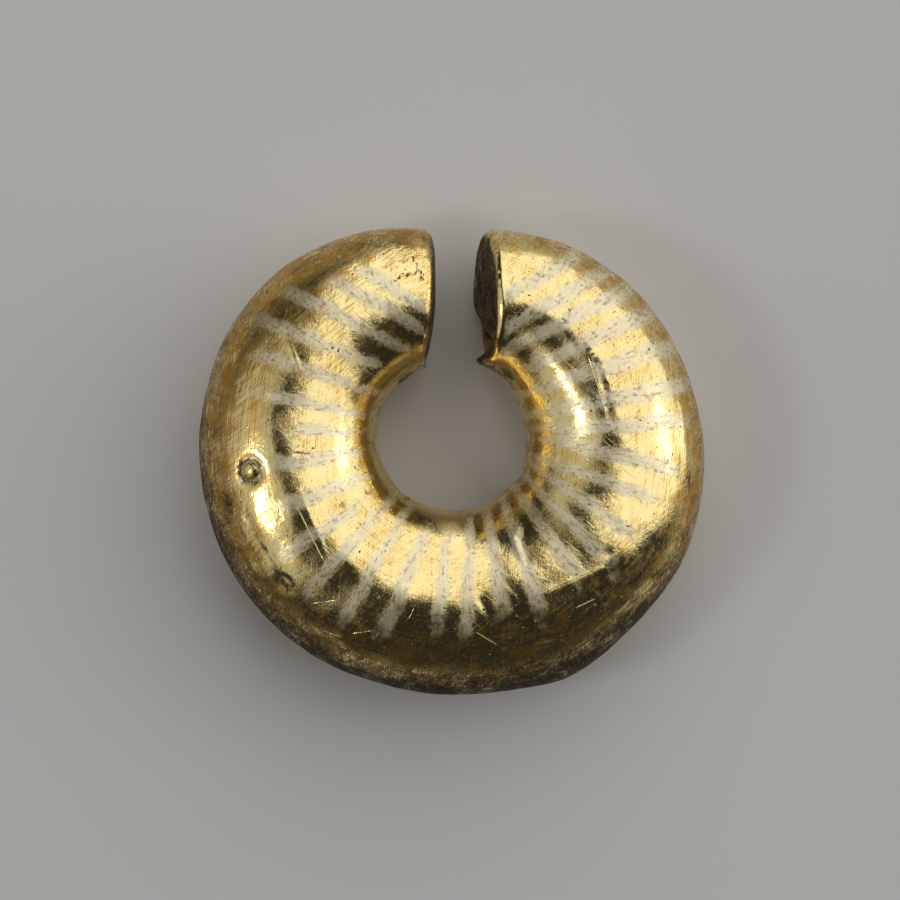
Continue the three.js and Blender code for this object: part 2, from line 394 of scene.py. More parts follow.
def end_rings(first_ring, outward, wear):
    """The rings of points that close an end, and the point at its middle."""
    middle = first_ring.mean(axis=0)
    inward = middle - first_ring
    inward /= np.linalg.norm(inward, axis=1, keepdims=True)
    rings = []
    for step in range(1, ROUNDING_ROWS + 1):
        angle = step / ROUNDING_ROWS * math.pi / 2
        drawn_in = END_ROUNDING * (1 - math.cos(angle)) * inward
        rings.append(first_ring + drawn_in + END_ROUNDING * math.sin(angle) * outward)
    rim = rings[-1]
    middle = rim.mean(axis=0)
    for step in range(1, CAP_ROWS):
        rings.append(rim + (middle - rim) * step / CAP_ROWS)
    points = np.concatenate([np.array(rings).reshape(-1, 3), middle[None]])
    reach = np.zeros(len(points))
    for inward_place, back_place, half_width, half_depth, out in wear:
        across = (middle[1] - points[:, 1] - inward_place) / half_width
        reach += out * swell(np.hypot(across, (middle[2] - points[:, 2] - back_place) / half_depth))
    reach += END_UNEVENNESS * unevenness(points)
    points += reach[:, None] * outward
    return points[:-1].reshape(len(rings), -1, 3), points[-1]


left_rings, left_tip = end_rings(skin[0], left_outward, LEFT_END_WEAR)
right_rings, right_tip = end_rings(skin[-1], right_outward, RIGHT_END_WEAR)
rows = np.concatenate([left_rings[::-1], skin, right_rings])
rows[..., 2] = np.maximum(rows[..., 2], 0)
print("Rows and columns of the skin:", rows.shape[:2])

# %% [markdown]
# The stripes are thin strips of pale alloy that run across the body like the rings of a caterpillar. They
# are flush, so they are colour and sheen only, without any shape. Seen from above each one is nearly
# straight, so it is kept as a line between a turn near the hole and a turn near the outer edge, with the
# radii between which it is well preserved. The distance to the nearest stripe's edge is stored on the
# points, and the finish later turns it into a grainy, worn border. The stripes go on around the hidden
# sides in the same way.

# %% Pale stripes
INNER_RADIUS = 3.2
OUTER_RADIUS = 7.2

# Turn at the inner radius, turn at the outer radius, well preserved from and to, and width on the crest
STRIPES = {
    "left, first from the end": (-197, -148, 4.2, 6.4, 0.44),
    "left, second": (-174, -141, 3.6, 6.6, 0.44),
    "left, third": (-153, -132, 3.2, 7.3, 0.46),
    "left, fourth": (-135, -122, 3.3, 7.5, 0.46),
    "left, fifth": (-119, -113, 3.2, 6.9, 0.44),
    "left, sixth": (-104, -103, 3.2, 6.4, 0.42),
    "left, seventh": (-93, -93, 3.2, 5.3, 0.42),
    "lower left, first": (-81, -81, 3.2, 5.8, 0.5),
    "lower left, second": (-66, -68, 3.4, 5.8, 0.5),
    "lower left, third": (-54, -55, 3.9, 7.0, 0.42),
    "lower left, fourth": (-45, -43, 2.9, 6.9, 0.44),
    "lower left, fifth": (-32, -31, 2.9, 6.9, 0.44),
    "back, left": (-16, -20, 3.5, 6.8, 0.5),
    "back, middle": (-3, -5, 3.5, 6.2, 0.44),
    "back, right": (10, 3, 3.0, 6.4, 0.46),
    "lower right, first": (22, 15, 2.7, 5.9, 0.5),
    "lower right, second": (35, 26, 2.6, 6.3, 0.5),
    "lower right, third": (48, 41, 2.6, 6.3, 0.48),
    "lower right, fourth": (59, 51, 2.7, 6.6, 0.42),
    "lower right, fifth": (69, 61, 2.8, 6.6, 0.46),
    "lower right, sixth": (76, 73, 2.9, 6.8, 0.42),
    "right, first": (89, 82, 3.0, 7.2, 0.48),
    "right, second": (95, 94, 2.6, 7.6, 0.5),
    "right, third": (105, 103, 2.5, 8.1, 0.52),
    "right, fourth": (120, 113, 2.5, 8.1, 0.54),
    "right, fifth": (133, 123, 3.6, 8.0, 0.54),
    "right, sixth": (150, 131, 3.2, 7.9, 0.5),
    "right, seventh": (164, 138, 3.9, 7.6, 0.48),
    "right, last before the end": (200, 146, 4.9, 7.5, 0.46),
}
print("Stripes:", len(STRIPES))

# %% How far inside a stripe each point is
NARROWER_AT_HOLE = 0.7
# A stripe reaches its width on the crest so many mm from the hole, and can grow on by this factor
GROWS_OVER = 2.2
GROWS_TO = 1.6
# How worn a stripe is past its limits, how many mm before a limit the wear starts, and over how many
OUTER_WEAR, OUTER_START, OUTER_FADE = 0.75, 0.4, 0.9
INNER_WEAR, INNER_START, INNER_FADE = 0.8, 0.2, 0.8
# The line of a stripe sways in two waves. Height in mm, how fast it swings and where it begins.
SWAYS = [(0.035, 2.9, 0), (0.02, 6.1, 1)]


def in_plan(radius, place_turn):
    angle = math.radians(place_turn - 90)
    return np.array([radius * math.cos(angle), radius * math.sin(angle)])


def stripe_fields(points):
    """For each point, how far inside the nearest stripe it is, in mm, and how well that stripe is kept."""
    plan = points[..., :2]
    radius = np.linalg.norm(plan, axis=-1)
    inside = np.full(radius.shape, -1.0)
    kept = np.zeros(radius.shape)
    sway = sum(height * np.sin(radius * speed + begin) for height, speed, begin in SWAYS)
    for inner_turn, outer_turn, kept_from, kept_to, width in STRIPES.values():
        first, last = in_plan(INNER_RADIUS, inner_turn), in_plan(OUTER_RADIUS, outer_turn)
        line = (last - first) / np.linalg.norm(last - first)
        offset = plan - first
        own_sway = sway * math.sin(7 * inner_turn)
        off = np.abs(line[0] * offset[..., 1] - line[1] * offset[..., 0] + own_sway)
        taper = np.clip((radius - HOLE_RADIUS) / GROWS_OVER, 0, GROWS_TO)
        half_width = width / 2 * (NARROWER_AT_HOLE + (1 - NARROWER_AT_HOLE) * taper)
        depth = np.where(plan @ (first + last) > 0, half_width - off, -1.0)
        worn = OUTER_WEAR * np.clip((radius - kept_to + OUTER_START) / OUTER_FADE, 0, 1)
        worn += INNER_WEAR * np.clip((kept_from - radius + INNER_START) / INNER_FADE, 0, 1)
        nearer = depth > inside
        inside = np.where(nearer, depth, inside)
        kept = np.where(nearer, 1 - worn, kept)
    return inside, kept


stripe_inside, stripe_kept = stripe_fields(rows)
print("Share of the skin under stripes:", float((stripe_inside > 0).mean().round(3)))

# %% [markdown]
# Tarnish is a brown film. It is thick on the outer left side, round the outer edge at the back and on the
# end faces, and thinner on the right, along the hole and underneath. Dirt sits in the hollows: around the
# boss, in dents and in the torn end. Round the boss and on the end faces it is also painted shade. The
# dark patches on the crest are painted dark reflection, and so is the black on the lower flank at the
# back. All are fields that are soft here and get their fine grain from the finish.

# %% Places of tarnish, dirt and painted shade
# Turn, around, half lengths in degrees, and strength
TARNISH = [
    (-128, 28, 48, 42, 0.95),
    (-162, 30, 22, 22, 0.5),
    (-75, 18, 40, 30, 0.85),
    (-25, 22, 50, 34, 1.0),
    (35, 20, 40, 34, 1.0),
    (90, 8, 45, 26, 0.7),
    (150, 18, 34, 26, 0.65),
    (-150, 180, 40, 26, 0.5),
    (-60, 180, 60, 24, 0.5),
    (70, 180, 60, 30, 0.9),
    (150, 175, 25, 26, 0.5),
    (-100, 280, 50, 60, 0.6),
    (0, 285, 55, 60, 0.8),
    (100, 280, 50, 60, 0.6),
]
DIRT_AND_SHADE = [
    # The next four are painted dark reflection along the right crest, not dirt
    (100, 91, 5, 3.5, 0.5),
    (107, 89, 5, 4, 0.45),
    (106, 100, 6, 4, 0.35),
    (136, 88, 14, 7, 0.45),
    (-49, 53, 3, 4, 0.7),
    (-73, 41, 3, 5, 0.5),
    (49, 61, 3, 4, 0.6),
    (80, 36, 3, 4, 0.6),
    (-57, 136, 3, 4, 0.7),
    (-58, 115, 2.5, 3, 0.5),
    (-110, 180, 25, 25, 0.3),
    (-150, 145, 7, 9, 0.8),
    (-142, 166, 8, 12, 0.85),
    (-160, 178, 10, 22, 0.8),
    (139, 155, 7, 12, 1.1),
    (150, 176, 8, 20, 0.7),
    # Painted dark reflection on the left crest, not dirt
    (-90, 95, 14, 7, 0.35),
    # The next three are painted dark reflection on the lower outer flank, not dirt
    (-22, 6, 50, 34, 1.0),
    (32, 4, 36, 38, 1.0),
    (-80, 2, 38, 28, 0.6),
    (-160, 40, 10, 12, 0.4),
]
END_TARNISH = 1.0
# The end faces get dirt with painted shade on it
END_DIRT_AND_SHADE = 0.85
print("Patches of tarnish and of dirt:", len(TARNISH), len(DIRT_AND_SHADE))

# %% Tarnish, dirt and painted shade on the points
# Dirt and painted shade in the ring around the boss; its middle and half width are shares of the hollow's
# radius
MOAT_DIRT_AND_SHADE = 0.9
MOAT_MIDDLE = 0.84
MOAT_WIDTH = 0.26
# Dirt in the strokes, which is full where they are this deep, in mm
GROOVE_DIRT = 0.3
GROOVE_DEPTH = 0.05


def patches(places, place_turn, place_around):
    """Soft patches on the skin, added up."""
    total = np.zeros(place_turn.shape)
    for middle_turn, middle_around, half_along, half_across, strength in places:
        turned = (place_around - middle_around + 540) % 360 - 180
        total += strength * swell(np.hypot((place_turn - middle_turn) / half_along, turned / half_across))
    return total


boss_away = away(BOSS_TURN, BOSS_AROUND, turn, around, HOLLOW_RADIUS, HOLLOW_RADIUS)
moat_dirt_and_shade = MOAT_DIRT_AND_SHADE * swell((boss_away - MOAT_MIDDLE) / MOAT_WIDTH)
groove_dirt = np.clip(-stroke_rise / GROOVE_DEPTH, 0, 1) * GROOVE_DIRT
end_rows = len(left_rings)
tarnish = np.full(rows.shape[:2], END_TARNISH)
tarnish[end_rows:-end_rows] = np.clip(patches(TARNISH, turn, around), 0, 1)
dirt_and_shade = np.full(rows.shape[:2], END_DIRT_AND_SHADE)
dirt_and_shade[end_rows:-end_rows] = np.clip(patches(DIRT_AND_SHADE, turn, around) + moat_dirt_and_shade + groove_dirt, 0, 1)
for step in range(ROUNDING_ROWS):
    share = (step + 1) / ROUNDING_ROWS
    for edge, ring in ((end_rows, end_rows - 1 - step), (-end_rows - 1, -end_rows + step)):
        tarnish[ring] = tarnish[edge] + (END_TARNISH - tarnish[edge]) * share**2
        dirt_and_shade[ring] = dirt_and_shade[edge] + (END_DIRT_AND_SHADE - dirt_and_shade[edge]) * share**2
stripe_kept[:end_rows] = 0
stripe_kept[-end_rows:] = 0
print("Mean tarnish and dirt:", tarnish.mean().round(2), dirt_and_shade.mean().round(2))

# %% [markdown]
# Now the points become a mesh. The ring is moved so that the origin is under the middle of its outline,
# as in the measured ring. A map for baking is laid out with it: the body unrolls to one rectangle, and
# the two end faces become small round islands above it. The finish does not read this map; it works from
# places in space.

# %% The ring's mesh
# From the middle of the hole to the middle of the outline
plain_box = np.array([smooth_skin.reshape(-1, 3).min(axis=0), smooth_skin.reshape(-1, 3).max(axis=0)])
SHIFT = -plain_box.mean(axis=0) * np.array([1, 1, 0])
row_count = len(rows)
points = np.concatenate([rows.reshape(-1, 3), left_tip[None], right_tip[None]]) + SHIFT
left_tip_index, right_tip_index = row_count * COLUMNS, row_count * COLUMNS + 1

columns = np.arange(COLUMNS)
next_columns = (columns + 1) % COLUMNS
quads = []
for row in range(row_count - 1):
    here, there = row * COLUMNS, (row + 1) * COLUMNS
    corners = [here + columns, there + columns, there + next_columns, here + next_columns]
    quads.append(np.stack(corners, axis=1))
quads = np.concatenate(quads)
last_row = (row_count - 1) * COLUMNS
left_fan = [(left_tip_index, int(c), int(n)) for c, n in zip(columns, next_columns)]
right_fan = [(right_tip_index, last_row + int(n), last_row + int(c)) for c, n in zip(columns, next_columns)]

mesh = bpy.data.meshes.new("ring_money_skin")
mesh.from_pydata((points * MM).tolist(), [], quads.tolist() + left_fan + right_fan)
mesh.shade_smooth()
print("Triangles:", 2 * len(quads) + 2 * COLUMNS)

# %% The map for baking
BODY_BAND = 0.85
ISLAND_RADIUS = 0.07
LEFT_ISLAND = (0.1, 0.925)
RIGHT_ISLAND = (0.3, 0.925)


def island(ring_count, island_middle, reverse):
    """Map places of an end's rings, from the rim of the body to the middle of the face."""
    share = 1 - np.arange(ring_count + 1) / (ring_count + 1)
    angle = np.radians(around_columns)
    u = island_middle[0] + ISLAND_RADIUS * share[:, None] * np.cos(angle)
    v = island_middle[1] + ISLAND_RADIUS * share[:, None] * np.sin(angle)
    placed = np.stack([u, v], axis=-1)
    return placed[::-1] if reverse else placed


def map_corners():
    """The map place of every corner of every face, in the order of the faces."""
    left_map = island(end_rows, LEFT_ISLAND, True)
    right_map = island(end_rows, RIGHT_ISLAND, False)
    v_here, v_next = around_columns / 360, np.append(around_columns[1:], 360) / 360
    corners = []
    for row in range(row_count - 1):
        if row < end_rows:
            here, there = left_map[row], left_map[row + 1]
        elif row >= row_count - 1 - end_rows:
            step = row - (row_count - 1 - end_rows)
            here, there = right_map[step], right_map[step + 1]
        else:
            u_here, u_there = row_shares[row - end_rows], row_shares[row - end_rows + 1]
            places = [(u_here, v_here), (u_there, v_here), (u_there, v_next), (u_here, v_next)]
            placed = [np.stack([np.full(COLUMNS, u), v * BODY_BAND], axis=1) for u, v in places]
            corners.append(np.stack(placed, axis=1))
            continue
        corners.append(np.stack([here, there, there[next_columns], here[next_columns]], axis=1))
    left_tips = np.broadcast_to(LEFT_ISLAND, (COLUMNS, 2))
    right_tips = np.broadcast_to(RIGHT_ISLAND, (COLUMNS, 2))
    left_fan_map = np.stack([left_tips, left_map[0], left_map[0][next_columns]], axis=1)
    right_fan_map = np.stack([right_tips, right_map[-1][next_columns], right_map[-1]], axis=1)
    flat = [part.reshape(-1, 2) for part in (*corners, left_fan_map, right_fan_map)]
    return np.concatenate(flat)


bake_map = mesh.uv_layers.new(name="OFBake")
bake_map.data.foreach_set("uv", map_corners().astype(np.float32).ravel())
print("Corners in the map:", len(bake_map.data))

# %% Fields on the points


def store(name, values, tip_value):
    """Keeps a value for every point of the mesh, where the finish can read it."""
    field = mesh.attributes.new(name, "FLOAT", "POINT")
    field.data.foreach_set("value", np.append(values.ravel(), [tip_value, tip_value]).astype(np.float32))


store("stripe_inside", stripe_inside, -1)
store("stripe_kept", np.clip(stripe_kept, 0, 1), 0)
store("tarnish", tarnish, END_TARNISH)
store("dirt_and_shade", dirt_and_shade, END_DIRT_AND_SHADE)

ring = bpy.data.objects.new("ring_money_dressed", mesh)
bpy.context.collection.objects.link(ring)
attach(ring, "root")
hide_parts("ring_money")
print("Fields:", [field.name for field in mesh.attributes if field.data_type == "FLOAT"])

# %% [markdown]
# The finish is built from nodes. To read it as plain sums, one small class stands for the output of a
# node and turns Python's operators into Math nodes, and one method of the finish adds any other node:
# first its settings, then the values or links of its sockets.

# %% A small language for finishes


class Wire:
    """The output of a node. Sums on it add Math nodes."""

    def __init__(self, finish, socket):
        self.finish = finish
        self.socket = socket

    def maths(self, operation, first, second):
        return self.finish.node("ShaderNodeMath", {"operation": operation}, {0: first, 1: second})

    def __add__(self, other):
        return self.maths("ADD", self, other)

    def __radd__(self, other):
        return self.maths("ADD", other, self)

    def __sub__(self, other):
        return self.maths("SUBTRACT", self, other)

    def __rsub__(self, other):
        return self.maths("SUBTRACT", other, self)

    def __mul__(self, other):
        return self.maths("MULTIPLY", self, other)

    def __rmul__(self, other):
        return self.maths("MULTIPLY", other, self)

    def __truediv__(self, other):
        return self.maths("DIVIDE", self, other)

    def __pow__(self, other):
        return self.maths("POWER", self, other)

    def __or__(self, other):
        return self.maths("MAXIMUM", self, other)

    def also(self, name):
        """Another output of the same node."""
        return Wire(self.finish, self.socket.node.outputs[name])


print("Class made:", Wire.__name__)

# %% The nodes of a finish


class Finish:
    """The nodes of one material."""

    def __init__(self, name):
        self.material = bpy.data.materials.new(name)
        self.material.use_nodes = True
        self.tree = self.material.node_tree
        self.tree.nodes.clear()

    def node(self, kind, settings, values, output=0):
        made = self.tree.nodes.new(kind)
        for name, setting in settings.items():
            setattr(made, name, setting)
        for name, value in values.items():
            if isinstance(value, Wire):
                self.tree.links.new(value.socket, made.inputs[name])
            else:
                made.inputs[name].default_value = value
        return Wire(self, made.outputs[output]) if made.outputs else None

    def field(self, name):
        return self.node("ShaderNodeAttribute", {"attribute_name": name}, {}, "Fac")

    def step(self, value, low, high):
        """0 below low, 1 above high and smooth between them. low may be above high."""
        values = {"Value": value, "From Min": low, "From Max": high}
        return self.node("ShaderNodeMapRange", {"interpolation_type": "SMOOTHSTEP"}, values)

    def grain(self, place, scale, detail=2.0, roughness=0.5):
        values = {"Vector": place, "Scale": scale, "Detail": detail, "Roughness": roughness}
        return self.node("ShaderNodeTexNoise", {}, values)

    def mix(self, mask, below, above):
        """The colour above where mask is 1, and below where it is 0."""
        return self.node("ShaderNodeMix", {"data_type": "RGBA"}, {0: mask, 6: below, 7: above}, 2)


print("Class made:", Finish.__name__)

# %% The finish of the ring
gold = Finish("worn_gold")
in_metres = gold.node("ShaderNodeTexCoord", {}, {}, "Object")
place = gold.node("ShaderNodeVectorMath", {"operation": "SCALE"}, {"Vector": in_metres, "Scale": 1 / MM})
print("The finish reads places in mm")

# %% [markdown]
# Scratches come in three kinds. Fine brushing covers everything: noise that is stretched a lot in one
# direction looks like the trace of rubbing, and several directions are laid over each other. Short
# straight scratches are scattered: a Voronoi texture puts one point in every cell, and in stretched
# places the surroundings of a point are long and thin. Only a few cells, picked by their random colour,
# hold one. The deep scratches of the photograph are placed one by one, each a very long and thin soft
# spot.

# %% Brushing
MEAN_RADIUS = HOLE_RADIUS + float(size_at(0.0, WIDTHS)) / 2


def rubbed(direction, length, width, depth):
    """Places, turned and squeezed so that what lies on them runs in one direction. Degrees and mm."""
    turned = (0, 0, math.radians(direction))
    values = {"Vector": place, "Rotation": turned, "Scale": (length, width, depth)}
    return gold.node("ShaderNodeMapping", {"vector_type": "TEXTURE"}, values)


def round_the_ring(length, width):
    """Places that follow the bend of the body. length runs round the ring, width across it, in mm."""
    apart = gold.node("ShaderNodeSeparateXYZ", {}, {"Vector": place}, "X")
    across, up, height = apart - SHIFT[0], apart.also("Y") - SHIFT[1], apart.also("Z")
    radius = (across * across + up * up) ** 0.5
    bend = apart.maths("ARCTAN2", across, 0 - up)
    values = {"X": bend * (MEAN_RADIUS / length), "Y": radius * (1 / width), "Z": height * (1 / width)}
    return gold.node("ShaderNodeCombineXYZ", {}, values)


brushing = gold.grain(rubbed(38, 1.6, 0.045, 0.3), 1, 2, 0.6)
brushing = brushing + gold.grain(round_the_ring(1.5, 0.05), 1, 2, 0.6)
brushing = brushing + gold.grain(rubbed(84, 1.4, 0.04, 0.2), 1, 2, 0.6)
# A noise is about one half on average, and three of them are added up
BRUSHING_MEAN = 1.5
print("Nodes with the brushing:", len(gold.tree.nodes))

# %% Short straight scratches
REACH = 0.4


def scratches(direction, half_length, half_width, share):
    """1 on scattered straight scratches. share says how many of the cells hold one."""
    places = rubbed(direction, half_length / REACH, half_width / REACH, 0.8)
    distance = gold.node("ShaderNodeTexVoronoi", {}, {"Vector": places, "Scale": 1}, "Distance")
    chance_of_one = gold.node("ShaderNodeSeparateColor", {}, {"Color": distance.also("Color")}, "Red")
    return gold.step(distance, REACH, REACH / 3) * gold.step(chance_of_one, 1 - share, 1)


lines = scratches(58, 0.5, 0.022, 0.2) | scratches(-38, 0.5, 0.022, 0.18)
print("Nodes with the short scratches:", len(gold.tree.nodes))

# %% Single deep scratches
# Middle in mm from the middle of the hole, direction in degrees, half length and half width
SCRATCHES = {
    "lower left, long": ((-4.3, -5.43), 8, 0.46, 0.026),
    "lower left, low": ((-3.0, -6.43), 8, 0.45, 0.022),
    "lower left, lowest": ((-4.0, -6.5), -20, 0.5, 0.022),
    "back, upright": ((-1.38, -5.8), 65, 0.24, 0.022),
    "back, slanting": ((1.16, -6.66), -32, 0.6, 0.026),
    "lower right": ((4.38, -5.47), 25, 0.45, 0.024),
    "lower right, upper": ((3.9, -4.75), 24, 1.1, 0.022),
    "right flank, upright": ((7.2, 2.55), -87, 0.55, 0.02),
    "left crest": ((-4.55, 0.1), 3, 0.3, 0.026),
    "left crest, long": ((-4.7, -3.2), -64, 1.2, 0.02),
    "upper left": ((-4.8, 4.4), 22, 0.35, 0.02),
    "right, by the hole": ((4.0, 1.7), -70, 0.5, 0.02),
    "right crest": ((4.79, 1.69), -72, 1.2, 0.022),
    "upper left flank": ((-5.5, 3.6), 35, 0.4, 0.017),
}
# The same, for cracks that hold dirt, and on the right crest for painted dark reflection along the crest
CRACKS_AND_CREST_SHADE = {
    "at the left end": ((-1.22, 5.72), -65, 0.36, 0.06),
    "at the left end, crossing": ((-1.35, 5.42), 14, 0.32, 0.06),
    "at the left end, short": ((-1.08, 5.35), -75, 0.2, 0.07),
    "at the left end, lower": ((-1.78, 5.28), 45, 0.3, 0.05),
    "on the left crest": ((-4.95, -0.55), -3, 0.25, 0.022),
    # The next four are painted dark reflection along the right crest, not cracks
    "on the right crest": ((4.62, 1.35), -64, 0.45, 0.15),
    "on the right crest, beside it": ((5.02, 1.9), -72, 0.6, 0.14),
    "on the right crest, lower": ((5.22, 0.9), -80, 0.45, 0.14),
    "on the right crest, upper": ((4.6, 2.75), -55, 0.6, 0.17),
}
print("Scratches and cracks:", len(SCRATCHES), len(CRACKS_AND_CREST_SHADE))

# %% Long thin spots
# The height of every spot's middle and how far it reaches up and down, in mm
FRONT_HEIGHT = 4.4
FRONT_DEPTH = 3.5


def spot(places, middle, direction, half_length, half_width):
    """1 at the middle of a long spot on the front, falling to 0 at its edge."""
    location = (middle[0] + SHIFT[0], middle[1] + SHIFT[1], FRONT_HEIGHT)
    turned = (0, 0, math.radians(direction))
    size = (half_length, half_width, FRONT_DEPTH)
    values = {"Vector": places, "Location": location, "Rotation": turned, "Scale": size}
    squeezed = gold.node("ShaderNodeMapping", {"vector_type": "TEXTURE"}, values)
    return gold.node("ShaderNodeTexGradient", {"gradient_type": "SPHERICAL"}, {"Vector": squeezed}, "Fac")


def spots(places, marks):
    """1 on any of several spots."""
    total = None
    for middle, direction, half_length, half_width in marks.values():
        one = spot(places, middle, direction, half_length, half_width)
        total = total | one if total else one
    return gold.step(total, 0, 0.5)


# Places that are shaken a little, so that what lies on them is crooked. The full swing is in mm.
SWING = 0.3
noise = gold.grain(place, 5, 1).also("Color")
shaken = gold.node("ShaderNodeVectorMath", {"operation": "SUBTRACT"}, {0: noise, 1: (0.5, 0.5, 0.5)})
shaken = gold.node("ShaderNodeVectorMath", {"operation": "SCALE"}, {"Vector": shaken, "Scale": SWING})
crooked = gold.node("ShaderNodeVectorMath", {"operation": "ADD"}, {0: place, 1: shaken})

deep = spots(place, SCRATCHES)
cracked_and_crest_shade = spots(crooked, CRACKS_AND_CREST_SHADE)
print("Nodes with the single scratches:", len(gold.tree.nodes))

# %% [markdown]
# Pits are tiny round holes with dirt in them. A Voronoi texture scatters one point in every cell, and the
# random colour of the cell gives each pit its own size, so that most cells show none at all. Some larger
# spots, made in the same way, are only stains.

# %% Pits


def pits(scale, largest, rarity):
    """1 inside scattered round pits, 0 elsewhere. largest is the radius of the largest pit, in mm."""
    distance = gold.node("ShaderNodeTexVoronoi", {}, {"Vector": crooked, "Scale": scale}, "Distance")
    chance_of_pit = gold.node("ShaderNodeSeparateColor", {}, {"Color": distance.also("Color")}, "Red")
    radius = chance_of_pit**rarity * (largest * scale)
    return gold.step(distance / (radius + 0.0001), 1, 0.55)


pitted = pits(1.6, 0.06, 5) | pits(4.6, 0.05, 2.0)
stained = pits(0.7, 0.2, 7)
print("Nodes with the pits:", len(gold.tree.nodes))

# %% [markdown]
# The edge of a stripe is ragged, because gold was dragged over it in use. Noise that is long across the
# body and thin along it gives wisps in the direction of the stripe. They fray its edge, let streaks of
# gold through and set its tone. Where a stripe is badly kept, only islands of it are left.

# %% Where the alloy shows
wisps = gold.grain(round_the_ring(0.1, 0.5), 1, 2, 0.65) - 0.5
speckle = gold.grain(place, 6, 3, 0.7) - 0.5
islands = gold.grain(place, 1.5, 3, 0.65)
edge = gold.field("stripe_inside") + wisps * 0.35 + speckle * 0.45
kept = gold.field("stripe_kept")
alloy = gold.step(edge, -0.08, 0.12) * gold.step(islands + kept * 0.5, 0.64, 0.98)
alloy = alloy * (1 - gold.step(wisps + speckle * 0.8, 0.0, 0.3) * 0.75)
print("Nodes with the alloy:", len(gold.tree.nodes))

# %% [markdown]
# Tarnish and dirt are soft fields so far. A blotchy noise and a fine one break them up, and the brushing
# streaks the tarnish. Short scratches cut more than halfway through the tarnish, and the deep ones all
# the way. Pits, cracks and the seams beside some stripes are filled with dirt. The long marks along the
# right crest are painted dark reflection, laid on in the same way as the cracks.

# %% Where tarnish, dirt and painted shade lie
blotches = gold.grain(place, 1.1, 3, 0.62) - 0.5
film = gold.field("tarnish") + blotches * 1.6 + (brushing - BRUSHING_MEAN) * 2.0 + speckle * 0.4
film = gold.step(film, 0.06, 1.1)
film = film * (1 - (lines * 0.6 | deep))
filth_and_shade = gold.field("dirt_and_shade")
# This field holds real dirt and also painted shade and painted dark reflection
soot_and_shade = gold.step(filth_and_shade + speckle * 1.3 + blotches * 0.9, 0.25, 1.15)
seam = gold.step(gold.node("ShaderNodeMath", {"operation": "ABSOLUTE"}, {0: edge}), 0.035, 0)
seam = seam * kept * gold.step(islands, 0.56, 0.7)
soot_and_shade = soot_and_shade | pitted | cracked_and_crest_shade * gold.step(speckle + wisps, -0.16, 0.1) | seam * 0.6
print("Nodes with the masks:", len(gold.tree.nodes))

# %% [markdown]
# The colours are simple once the masks are there. Clean gold is a deep, warm yellow. Its film goes from
# orange brown to a dark brown, which is commoner where dirt and painted shade lie. The alloy is a warm
# greyish white that scatters light, because it is corroded: it is less metallic and much rougher. Dirt,
# and the painted shade and dark reflection that share its field, are nearly black, dull and rough.

# %% Colour of the surface
CLEAN_GOLD = (0.96, 0.79, 0.37, 1)
WARM_GOLD = (0.92, 0.67, 0.25, 1)
ORANGE_FILM = (0.5, 0.25, 0.03, 1)
BROWN_FILM = (0.15, 0.08, 0.022, 1)
PALE_ALLOY = (0.9, 0.8, 0.56, 1)
GREY_ALLOY = (0.38, 0.32, 0.21, 1)
BLACK_DIRT_AND_SHADE = (0.02, 0.012, 0.006, 1)

hue = gold.step(blotches + (brushing - BRUSHING_MEAN) * 0.4, -0.2, 0.25)
colour = gold.mix(hue, CLEAN_GOLD, WARM_GOLD)
browner = gold.grain(place, 2.4, 3, 0.7) - (brushing - BRUSHING_MEAN) * 0.6 + filth_and_shade * 0.5
browner = gold.step(browner, 0.45, 0.75)
colour = gold.mix(film * 0.92, colour, gold.mix(browner, ORANGE_FILM, BROWN_FILM))
greyed = gold.step(speckle - wisps, -0.02, 0.3)
alloy_colour = gold.mix(greyed, PALE_ALLOY, GREY_ALLOY)
colour = gold.mix(alloy * (0.9 - film * 0.4), colour, alloy_colour)
# Near black for dirt, and for the painted shade and dark reflection
colour = gold.mix(soot_and_shade * 0.9, colour, BLACK_DIRT_AND_SHADE)
colour = gold.mix(stained * 0.5, colour, BROWN_FILM)
print("Nodes with the colour:", len(gold.tree.nodes))

# %% How rough and how metallic it is
GOLD_ROUGHNESS = 0.15
ALLOY_ROUGHNESS = 0.36
FILM_ROUGHENS = 0.22
DIRT_ROUGHENS = 0.4
ALLOY_DULLS = 0.28
DIRT_DULLS = 0.4
FILM_DULLS = 0.1

roughness = GOLD_ROUGHNESS + (blotches + speckle) * 0.12 + film * FILM_ROUGHENS + soot_and_shade * DIRT_ROUGHENS
roughness = roughness * (1 - alloy) + alloy * ALLOY_ROUGHNESS
metal = 1 - (alloy * ALLOY_DULLS | soot_and_shade * DIRT_DULLS | film * FILM_DULLS)
print("Nodes with the sheen:", len(gold.tree.nodes))

# %% [markdown]
# Height is the last layer. Brushing is a tiny unevenness, stronger in some patches. Short and deep
# scratches are grooves, pits are holes, and the whole skin is a little grainy. All together this is about
# a hundredth of a millimetre high, which is far below what the mesh can carry, so a Bump node bends the
# light instead.

# %% Relief of the surface
# Height of the whole relief in mm, and the shares of it that each kind of mark takes
RELIEF = 0.012
SHORT_SCRATCH = 0.18
DEEP_SCRATCH = 0.5
PIT = 0.8
GRAIN = 0.45

beaten = gold.step(blotches, -0.1, 0.12) * 0.14 + 0.08
height = brushing * beaten - lines * SHORT_SCRATCH - deep * DEEP_SCRATCH - pitted * PIT + speckle * GRAIN
bumps = {"Strength": 1.0, "Distance": RELIEF * MM, "Height": height}
normal = gold.node("ShaderNodeBump", {}, bumps)

surface = {
    "Base Color": colour,
    "Roughness": roughness,
    "Metallic": metal,
    "Normal": normal,
}
shader = gold.node("ShaderNodeBsdfPrincipled", {}, surface)
gold.node("ShaderNodeOutputMaterial", {}, {"Surface": shader})
mesh.materials.append(gold.material)
print("Nodes of the finish:", len(gold.tree.nodes))

